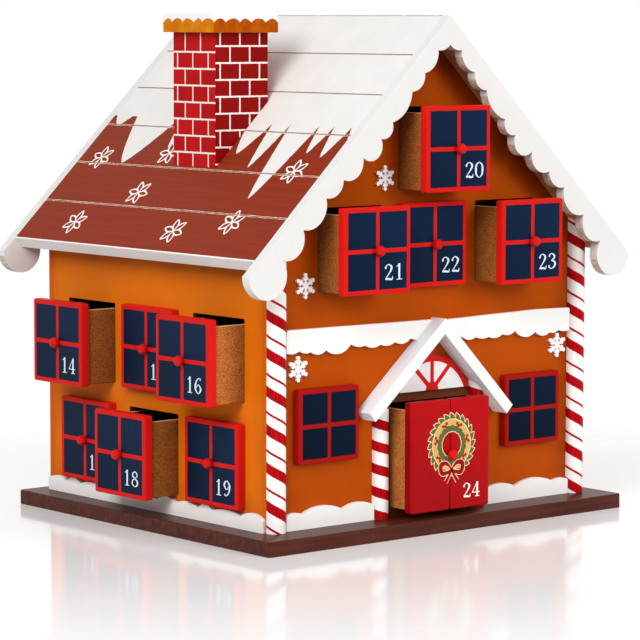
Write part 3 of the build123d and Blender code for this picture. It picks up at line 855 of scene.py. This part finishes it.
def door_paint(tree, place):
    """Red that is brighter towards the upper right, a little worn, and darker in the seam."""
    across, up, out = own_place(tree)
    glow = ((up / DOOR_TALL) + (across / DOOR_BROAD)).ramp(-0.6, 0.6)
    red = mix(tree, glow, rgb(152, 8, 13), rgb(172, 13, 17))
    worn = (noise(tree, place, 3.0, 5.0) - 0.66).ramp(0.0, 0.15) * 0.2
    red = mix(tree, worn, red, rgb(124, 7, 11))
    return mix(tree, out < DOOR_FACE, red, rgb(136, 8, 12)), 0.0


def knob_paint(tree, place):
    """Bright red in soft patches."""
    return mix(tree, noise(tree, place, 4.0), rgb(190, 14, 13), rgb(212, 24, 20)), 0.0


def flat_paint(colour):
    """One printed colour, a little worn."""

    def paint(tree, place):
        worn = (noise(tree, place, 0.7, 4.0) - 0.68).ramp(0.0, 0.1) * 0.3
        tone = tree.nodes.new("ShaderNodeRGB")
        tone.outputs[0].default_value = colour
        return mix(tree, worn, Wire(tree, tone.outputs[0]), rgb(150, 140, 130)), 0.0

    return paint


def lining_paint(tree, place):
    """Almost black, with a fuzzy skin."""
    fuzz = noise(tree, place, 0.8, 4.0)
    return mix(tree, fuzz, rgb(16, 11, 9), rgb(30, 21, 17)), fuzz * 0.2


LINING = material("dark lining", lining_paint, drift=0.1, skin=0.2)
FRONT = material("printed front", front_paint, drift=0.08, coat=0.03)
DOOR = material("door paint", door_paint, drift=0.06, coat=0.03)
KNOB = material("knob lacquer", knob_paint, drift=0.06, skin=0.03, coat=0.2)
PRINT = material("white print", flat_paint(WHITE), drift=0.05, skin=0.05)
FROST = material("frosty print", flat_paint(rgb(214, 226, 239)), drift=0.05, skin=0.05)

# %% [markdown]
# ## Numerals
#
# The numbers are printed in a bookish face with thick stems and hair-thin curves. A stroke is a pen's path
# with a width at each point. The path is rounded by a spline through its points, and the ribbon is the path
# moved half a width to either side along its normal. Digits stand in a box one unit high.

# %% Ribbons along pen paths
STROKES = {
    "0": [
        [(0.32, 0.98, 0.05), (0.12, 0.8, 0.12), (0.08, 0.5, 0.15), (0.12, 0.2, 0.12), (0.32, 0.02, 0.05),
         (0.52, 0.2, 0.12), (0.56, 0.5, 0.15), (0.52, 0.8, 0.12), (0.32, 0.98, 0.05)],
    ],
    "1": [
        [(0.34, 1.0, 0.15), (0.34, 0.5, 0.15), (0.34, 0.0, 0.15)],
        [(0.14, 0.82, 0.04), (0.24, 0.86, 0.06), (0.33, 0.98, 0.07)],
        [(0.14, 0.02, 0.05), (0.54, 0.02, 0.05)],
    ],
    "2": [
        [(0.14, 0.72, 0.14), (0.1, 0.82, 0.1), (0.28, 0.97, 0.06), (0.48, 0.86, 0.13), (0.5, 0.7, 0.15),
         (0.36, 0.44, 0.09), (0.1, 0.1, 0.05)],
        [(0.08, 0.07, 0.1), (0.3, 0.08, 0.15), (0.54, 0.05, 0.1), (0.58, 0.24, 0.04)],
    ],
    "3": [
        [(0.12, 0.78, 0.13), (0.14, 0.9, 0.08), (0.3, 0.98, 0.06), (0.48, 0.86, 0.13), (0.48, 0.68, 0.13),
         (0.26, 0.54, 0.05)],
        [(0.26, 0.54, 0.05), (0.52, 0.44, 0.12), (0.54, 0.22, 0.15), (0.32, 0.02, 0.06), (0.12, 0.1, 0.09),
         (0.1, 0.24, 0.13)],
    ],
    "4": [
        [(0.42, 1.0, 0.14), (0.42, 0.5, 0.15), (0.42, 0.0, 0.15)],
        [(0.4, 0.97, 0.05), (0.22, 0.62, 0.05), (0.04, 0.3, 0.06)],
        [(0.03, 0.29, 0.06), (0.62, 0.29, 0.06)],
        [(0.24, 0.02, 0.05), (0.6, 0.02, 0.05)],
    ],
    "5": [
        [(0.16, 0.98, 0.04), (0.15, 0.7, 0.05), (0.14, 0.5, 0.05)],
        [(0.16, 0.92, 0.12), (0.34, 0.91, 0.13), (0.52, 0.96, 0.07)],
        [(0.14, 0.5, 0.05), (0.34, 0.6, 0.07), (0.54, 0.42, 0.14), (0.5, 0.14, 0.13), (0.28, 0.02, 0.06),
         (0.1, 0.14, 0.13)],
    ],
    "6": [
        [(0.52, 0.84, 0.11), (0.44, 0.96, 0.06), (0.24, 0.86, 0.09), (0.11, 0.56, 0.14), (0.1, 0.28, 0.14),
         (0.32, 0.02, 0.06), (0.54, 0.26, 0.15), (0.36, 0.56, 0.06), (0.13, 0.34, 0.07)],
    ],
    "7": [
        [(0.08, 0.76, 0.04), (0.1, 0.96, 0.07)],
        [(0.1, 0.92, 0.13), (0.34, 0.92, 0.14), (0.58, 0.94, 0.08)],
        [(0.57, 0.95, 0.05), (0.4, 0.6, 0.08), (0.3, 0.3, 0.14), (0.28, 0.02, 0.17)],
    ],
    "8": [
        [(0.32, 0.98, 0.06), (0.14, 0.82, 0.11), (0.16, 0.66, 0.12), (0.34, 0.52, 0.12), (0.54, 0.36, 0.13),
         (0.53, 0.14, 0.13), (0.32, 0.02, 0.06), (0.1, 0.16, 0.1), (0.12, 0.38, 0.09), (0.32, 0.53, 0.06),
         (0.5, 0.68, 0.08), (0.49, 0.86, 0.1), (0.32, 0.98, 0.06)],
    ],
    "9": [
        [(0.12, 0.16, 0.11), (0.2, 0.04, 0.06), (0.4, 0.14, 0.09), (0.53, 0.44, 0.14), (0.54, 0.72, 0.14),
         (0.32, 0.98, 0.06), (0.1, 0.74, 0.15), (0.28, 0.44, 0.06), (0.51, 0.66, 0.07)],
    ],
}


def ribbon(path, height, steps=8):
    """Flat ribbon along a pen path: a Catmull-Rom curve moved half its width along its normal to each side."""
    knots = np.array(path, float)
    padded = np.vstack([2 * knots[0] - knots[1], knots, 2 * knots[-1] - knots[-2]])
    t = np.linspace(0, 1, steps, endpoint=False)[None, :, None]
    a, b, c, d = (padded[i : len(padded) - 3 + i, None, :] for i in range(4))
    square, cube = 2 * a - 5 * b + 4 * c - d, 3 * b - a - 3 * c + d
    curve = 0.5 * (2 * b + (c - a) * t + square * t**2 + cube * t**3)
    curve = np.vstack([curve.reshape(-1, 3), knots[-1]])
    tangent = np.gradient(curve[:, :2], axis=0)
    normal = np.stack([-tangent[:, 1], tangent[:, 0]], -1)
    normal /= np.linalg.norm(normal, axis=1, keepdims=True) + 1e-9
    half = curve[:, 2:3] / 2
    sides = np.stack([curve[:, :2] + normal * half, curve[:, :2] - normal * half], 1)
    return np.concatenate([sides, np.full((*sides.shape[:2], 1), height)], -1)


def numeral(number, middle, height, out):
    """All the ribbons of a number, centred on the middle, each a hair above the one before."""
    text = str(number)
    advance, stretch, weight = 0.83, 1.18, 0.88
    margin, lift = 0.03, 0.004
    start = margin - advance * len(text) / 2
    grids = []
    for i, digit in enumerate(text):
        for stroke in STROKES[digit]:
            grid = ribbon([(x, y, width * weight) for x, y, width in stroke], 0.0)
            grid[..., 0] = (grid[..., 0] * stretch + start + i * advance) * height + middle[0]
            grid[..., 1] = (grid[..., 1] - 0.5) * height + middle[1]
            grid[..., 2] = out + lift * len(grids)
            grids.append((grid, False))
    return grids


print("digits", "".join(sorted(STROKES)))

# %% [markdown]
# ## Setting the drawers in their walls
#
# The CAD says where each drawer is: its box, and the way its joint slides. From these come the wall's own
# directions and the seat of the front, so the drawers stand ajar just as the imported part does.

# %% Build all the drawers
THICK_FRONT, BALL, STAND = 6.5, 3.7, 2.6
TRAY_DEPTH, TRAY_WALL = 62.0, 3.0
SIDE_CLEARANCE, RUNNING_GAP, HEADROOM = 0.8, 0.3, 3.7
FRONT_LAP, DOOR_RISE = 1.0, 2.0
LEAF_SEAM, BACKING_INSET, BACKING_DROP = 0.5, 0.6, 0.8
PRINT_FACE = THICK_FRONT + 0.03
# The trays listed first get the lit copy of the board: painted light.
LIT_TRAYS, DOOR_NUMBER, FIRST_FRONT_NUMBER = (16, 24), 24, 20
DOOR_SPOT, FRONT_SPOT, WALL_SPOT = (20.2, -26.4), (14.6, -14.8), (13.2, -15.3)
DOOR_DIGIT, WINDOW_DIGIT = 10.4, 11.0


def seat_of(joint):
    """Centre of the front's back face, the wall's across and out directions, and the half sizes."""
    low, high = (np.array(corner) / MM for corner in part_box(joint["child"]))
    out = np.array(joint["axis"], float)
    across = np.array([-out[1], out[0], 0.0])
    centre = (low + high) / 2
    half = (high - low) / 2
    reach = abs(half @ out) - (THICK_FRONT + STAND + BALL)
    origin = centre + out * reach
    return origin, across, out, abs(half @ across), half[2]


def settler(origin, across, out):
    """Carries points from a wall's across, up and out to the part's frame."""
    turn = np.stack([across, [0.0, 0.0, 1.0], out])
    return lambda local: local @ turn + origin


for joint in frame["joints"]:
    body = joint["child"]
    number = int(body.split("_")[1])
    origin, across, out, half_width, half_height = seat_of(joint)
    settle = settler(origin, across, out)
    door = number == DOOR_NUMBER
    rise = DOOR_RISE if door else FRONT_LAP
    low = -half_height + rise + RUNNING_GAP
    high = half_height - rise - HEADROOM
    tray_half = half_width - FRONT_LAP - SIDE_CLEARANCE
    tray, lining = tray_surface(tray_half, low, high, TRAY_DEPTH, TRAY_WALL)
    # The listed trays get the board in painted light, the others the board in painted shade.
    board = LIT_TRAY if number in LIT_TRAYS else SHADED_TRAY
    tray_piece = make_piece(f"tray_{number:02d}", [(tray, True)], board, body, settle)
    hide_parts(body)
    make_piece(f"lining_{number:02d}", [(lining, True)], LINING, body, settle)
    if door:
        leaf = panel_surface((half_width - LEAF_SEAM) / 2, half_height, THICK_FRONT)
        shift = np.array([(half_width + LEAF_SEAM) / 2, 0.0, 0.0])
        backing = half_width - BACKING_INSET, half_height - BACKING_INSET
        back = panel_surface(*backing, THICK_FRONT - BACKING_DROP)
        fronts = [(leaf - shift, True), (leaf + shift, True), (back, True)]
    else:
        fronts = [(panel_surface(half_width, half_height, THICK_FRONT), True)]
    make_piece(f"front_{number:02d}", fronts, DOOR if door else FRONT, body, settle)
    ball = ball_surface(BALL, STAND, THICK_FRONT)
    make_piece(f"knob_{number:02d}", [(ball, True)], KNOB, body, settle)
    if door:
        ink, spot, tall = PRINT, DOOR_SPOT, DOOR_DIGIT
    else:
        ink, tall = FROST, WINDOW_DIGIT
        spot = FRONT_SPOT if number >= FIRST_FRONT_NUMBER else WALL_SPOT
    digits = numeral(number, spot, tall, PRINT_FACE)
    make_piece(f"number_{number:02d}", digits, ink, body, settle, flat=True)

# %% [markdown]
# ## Wreath on the door
#
# A wreath is printed on the door, a plain evergreen one: three rings of pointed leaves, red berries in threes,
# and a bow at the foot. A leaf is a lens: its width is a sine of the way along it. Each leaf and each layer of
# print lies a hair above the one before, and pale edges show round the leaves and the bow.

# %% Print the wreath
LEAF_LIFT, LAYER_LIFT, EDGE_LIFT = 0.0015, 0.08, 0.04
PALE_LENGTH, PALE_WIDTH = 0.8, 0.9
BERRY_RING, BERRY, CLUSTERS = 14.2, 1.1, 7
BERRY_LIFT, BOW_EDGE_LIFT, BOW_LIFT = 0.26, 0.28, 0.31
WREATH_UP, WREATH_ACROSS = 7.0, 1.0


def leaves(count, radius, length, width, tilt, height):
    """Ring of lens-shaped leaves that start on a circle and turn from its tangent by the tilt."""
    at = np.linspace(0, 2 * np.pi, count, endpoint=False)[:, None, None]
    along = np.linspace(0, 1, 9)[None, :, None]
    side = np.array([-1.0, 1.0])[None, None, :]
    across = side * width / 2 * np.sin(np.pi * along) ** 0.8
    heading = at + np.pi / 2 + tilt
    x = radius * np.cos(at) + length * along * np.cos(heading) - across * np.sin(heading)
    y = radius * np.sin(at) + length * along * np.sin(heading) + across * np.cos(heading)
    order = np.arange(count)[:, None, None] * LEAF_LIFT
    z = np.broadcast_to(height + order, x.shape)
    return [(grid, False) for grid in np.stack([x, y, z], -1)]


def discs(centres, radius, height):
    """Small filled circles: rings from the middle out to the radius."""
    around = np.linspace(0, 2 * np.pi, 18, endpoint=False)
    ring = np.stack([np.cos(around), np.sin(around)], -1)
    grids = []
    for cx, cy in centres:
        flat = np.stack([ring * r + [cx, cy] for r in (0.02, radius)])
        grids.append((np.concatenate([flat, np.full((*flat.shape[:2], 1), height)], -1), True))
    return grids


door_joint = next(joint for joint in frame["joints"] if joint["child"] == "drawer_24")
door_origin, door_across, door_out = seat_of(door_joint)[:3]
wreath_middle = door_origin + np.array([0.0, 0.0, WREATH_UP]) + door_across * WREATH_ACROSS
wreath_settle = settler(wreath_middle, door_across, door_out)
olive, tan, pale = rgb(92, 100, 52), rgb(214, 164, 92), rgb(236, 214, 170)
berry, bow_red = rgb(172, 14, 20), rgb(150, 10, 18)
clusters = np.linspace(0, 2 * np.pi, CLUSTERS, endpoint=False) + 0.2
trios = ((0.0, 0.0), (0.13, 1.1), (-0.11, 1.6))
berries = [
    (BERRY_RING + r) * np.array([np.cos(a + t), np.sin(a + t)]) for a in clusters for t, r in trios
]
loop = [
    (0.0, -17.0, 0.8), (5.0, -13.0, 2.8), (10.0, -13.8, 3.6), (9.0, -19.5, 3.4), (3.5, -19.2, 2.4),
    (0.0, -17.0, 0.8),
]
tail = [(0.0, -17.5, 1.2), (2.5, -22.0, 2.2), (5.5, -26.0, 3.0)]
bow = [[(s * x, y, w) for x, y, w in path] for path in (loop, tail) for s in (-1, 1)]
rows = [
    (24, 14.5, 9.5, 4.2, -0.75, olive),
    (20, 14.0, 9.0, 4.6, -0.1, tan),
    (18, 13.6, 7.6, 4.0, 0.75, olive),
]
layers = []
for i, (count, radius, length, width, tilt, colour) in enumerate(rows):
    lift = PRINT_FACE + LAYER_LIFT * i
    edge = leaves(count, radius, length + PALE_LENGTH, width + PALE_WIDTH, tilt, lift)
    layers.append((f"wreath_edge_{i}", edge, pale))
    ring = leaves(count, radius, length, width, tilt, lift + EDGE_LIFT)
    layers.append((f"wreath_leaves_{i}", ring, colour))
layers.append(("wreath_berries", discs(berries, BERRY, PRINT_FACE + BERRY_LIFT), berry))
broad = [[(x, y, w + PALE_WIDTH) for x, y, w in path] for path in bow]
for name, paths, lift, colour in (
    ("wreath_bow_edge", broad, BOW_EDGE_LIFT, pale),
    ("wreath_bow", bow, BOW_LIFT, bow_red),
):
    layers.append((name, [(ribbon(path, PRINT_FACE + lift), False) for path in paths], colour))
for name, grids, colour in layers:
    look = material(f"{name} print", flat_paint(colour), drift=0.06, skin=0.03)
    make_piece(name, grids, look, "drawer_24", wreath_settle, flat=True)
print("wreath layers", len(layers))

# %% [markdown]
# ## Table, light and camera
#
# The house stands on a glossy white table in front of white. The table fades out into the white around it.
# A large soft light hangs over the left side, so the left wall and the roof are bright and the front, which a
# second one lights, is a step darker. A third fills the back, and a small one makes the glints on the balls.
# The camera is a long lens about as high as the ridge. It looks a little down and is turned by forty degrees.

# %% Stage
TABLE_HALF, FADE_START, FADE_END = 1.6, 260.0, 640.0
corners = [(x * TABLE_HALF, y * TABLE_HALF, 0.0) for x, y in ((-1, -1), (1, -1), (1, 1), (-1, 1))]
floor_mesh = bpy.data.meshes.new("table")
floor_mesh.from_pydata(corners, [], [(0, 1, 2, 3)])
table = bpy.data.objects.new("table", floor_mesh)
bpy.context.scene.collection.objects.link(table)
look = bpy.data.materials.new("table top")
look.use_nodes = True
tree = look.node_tree
shader = tree.nodes["Principled BSDF"]
gloss = {"Base Color": (0.8, 0.8, 0.79, 1), "Roughness": 0.1, "IOR": 1.5}
glow = {"Emission Color": (1, 1, 0.99, 1), "Emission Strength": 0.12}
for title, value in (gloss | glow).items():
    shader.inputs[title].default_value = value
x, y, _ = split(tree, here(tree))
radius = math_node(tree, "SQRT", x * x + y * y)
clear = tree.nodes.new("ShaderNodeBsdfTransparent")
blend = tree.nodes.new("ShaderNodeMixShader")
feed(tree, radius.ramp(FADE_START, FADE_END), blend.inputs[0])
tree.links.new(shader.outputs[0], blend.inputs[1])
tree.links.new(clear.outputs[0], blend.inputs[2])
tree.links.new(blend.outputs[0], tree.nodes["Material Output"].inputs["Surface"])
floor_mesh.materials.append(look)

world = bpy.data.worlds.new("studio")
bpy.context.scene.world = world
world.use_nodes = True
tree = world.node_tree
path = tree.nodes.new("ShaderNodeLightPath")
seen = Wire(tree, path.outputs["Is Camera Ray"]).most(Wire(tree, path.outputs["Is Transmission Ray"]))
seen = seen.most(Wire(tree, path.outputs["Is Glossy Ray"]))
AMBIENT, AIM_HEIGHT, SOFT_SIZE = 0.36, 0.15, 1.2
feed(tree, seen * (1.0 - AMBIENT) + AMBIENT, tree.nodes["Background"].inputs["Strength"])
tree.nodes["Background"].inputs["Color"].default_value = (1, 1, 1, 1)


def soft_light(name, place, size, power, mirrored=False):
    """Square area light at a place in metres, turned towards the house, and mirrored in gloss or not."""
    lamp = bpy.data.lights.new(name, "AREA")
    lamp.size = size
    lamp.energy = power
    made = bpy.data.objects.new(name, lamp)
    made.location = place
    made.visible_glossy = mirrored
    away = np.array(place) - [0.0, 0.0, AIM_HEIGHT]
    back = away / np.linalg.norm(away)
    right = np.cross([0.0, 0.0, 1.0], back)
    right /= np.linalg.norm(right)
    turn = np.column_stack([right, np.cross(back, right), back])
    made.rotation_euler = Matrix(turn.tolist()).to_euler()
    bpy.context.scene.collection.objects.link(made)


soft_light("key", (-1.65, -0.75, 1.3), SOFT_SIZE, 36.0)
soft_light("front", (0.7, -2.0, 0.9), SOFT_SIZE, 29.0)
soft_light("fill", (1.5, 1.4, 1.2), SOFT_SIZE, 18.0)
soft_light("glint", (-1.0, -1.5, 1.6), SOFT_SIZE / 4, 1.4, mirrored=True)

EYE = (-1.3908, -1.6565, 0.3522)
SENSOR, FOCAL_PIXELS, PHOTO_PIXELS = 36.0, 2991.2, 640.0
YAW, TILT, ROLL = (math.radians(a) for a in (40.021, -5.705, 0.149))
ahead = np.array([math.cos(TILT) * math.sin(YAW), math.cos(TILT) * math.cos(YAW), math.sin(TILT)])
level = np.array([math.cos(YAW), -math.sin(YAW), 0.0])
above = np.cross(level, ahead)
right = math.cos(ROLL) * level + math.sin(ROLL) * above
lens = bpy.data.cameras.new("camera")
lens.sensor_fit = "VERTICAL"
lens.sensor_height = SENSOR
lens.lens = SENSOR * FOCAL_PIXELS / PHOTO_PIXELS
lens.clip_end = 50.0
camera = bpy.data.objects.new("camera", lens)
turn = np.column_stack([right, np.cross(-ahead, right), -ahead])
camera.matrix_world = Matrix.Translation(EYE) @ Matrix(turn.tolist()).to_4x4()
bpy.context.scene.collection.objects.link(camera)
bpy.context.scene.camera = camera
bpy.context.scene.view_settings.view_transform = "Standard"
print("camera lens", round(lens.lens, 2))
